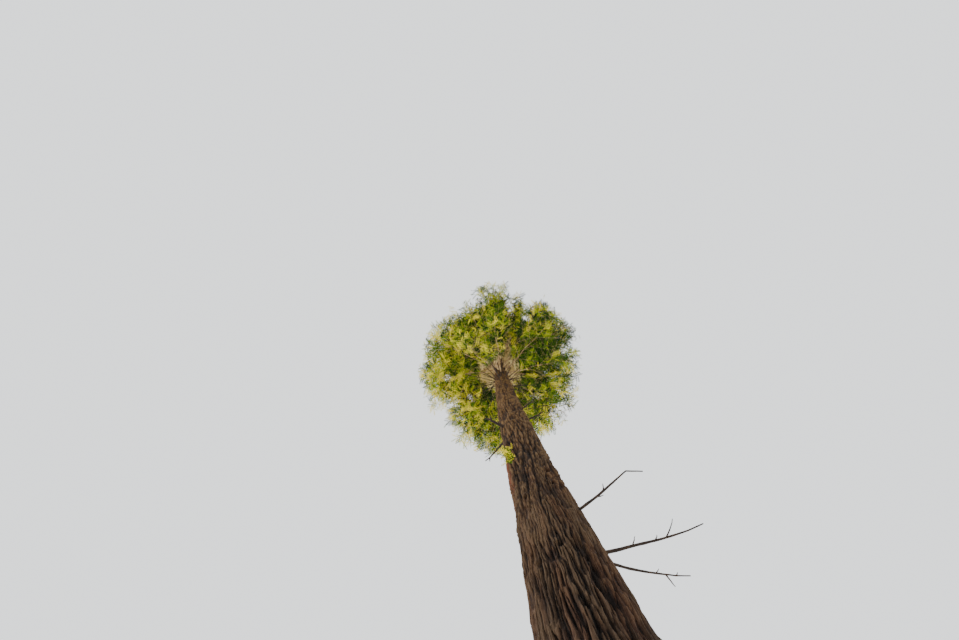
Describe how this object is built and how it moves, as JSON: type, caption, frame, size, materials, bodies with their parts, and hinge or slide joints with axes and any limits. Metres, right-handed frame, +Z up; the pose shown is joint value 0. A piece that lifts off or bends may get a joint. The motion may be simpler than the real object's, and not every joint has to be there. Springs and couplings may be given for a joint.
{
  "type": "redwood tree",
  "caption": "Tall conifer with a flared, furrowed trunk, a clear bole with a few dead limbs, and a narrow crown of drooping boughs and needle sprays.",
  "frame": {"origin": "centre of the flat cut under the trunk, at ground level", "axes": "+Z up along the trunk; the picture's camera stands on the -Y side, beside the foot, and looks up"},
  "size_m": [7.4242, 7.5638, 40],
  "materials": {
    "bark": "deeply furrowed fibrous bark",
    "limb_bark": "thin scaly bark",
    "needles": "flat evergreen needle sprays"
  },
  "bodies": {
    "root": {"trunk": "bark", "snag_low_back": "limb_bark", "snag_low_right": "limb_bark", "snag_right": "limb_bark", "snag_left": "limb_bark", "snag_middle_right": "limb_bark", "snag_high_left": "limb_bark", "snag_high_right": "limb_bark", "bough_01": "limb_bark", "foliage_01": "needles", "bough_02": "limb_bark", "foliage_02": "needles", "bough_03": "limb_bark", "foliage_03": "needles", "bough_04": "limb_bark", "foliage_04": "needles", "bough_05": "limb_bark", "foliage_05": "needles", "bough_06": "limb_bark", "foliage_06": "needles", "bough_07": "limb_bark", "foliage_07": "needles", "bough_08": "limb_bark", "foliage_08": "needles", "bough_09": "limb_bark", "foliage_09": "needles", "bough_10": "limb_bark", "foliage_10": "needles", "bough_11": "limb_bark", "foliage_11": "needles", "bough_12": "limb_bark", "foliage_12": "needles", "bough_13": "limb_bark", "foliage_13": "needles", "bough_14": "limb_bark", "foliage_14": "needles", "bough_15": "limb_bark", "foliage_15": "needles", "bough_16": "limb_bark", "foliage_16": "needles", "bough_17": "limb_bark", "foliage_17": "needles", "bough_18": "limb_bark", "foliage_18": "needles", "foliage_19": "needles", "foliage_20": "needles", "foliage_21": "needles", "foliage_22": "needles", "foliage_23": "needles", "foliage_24": "needles", "foliage_25": "needles", "foliage_26": "needles", "foliage_27": "needles", "foliage_28": "needles", "foliage_29": "needles", "foliage_30": "needles", "foliage_31": "needles", "foliage_32": "needles", "foliage_33": "needles", "foliage_34": "needles"}
  },
  "joints": []
}
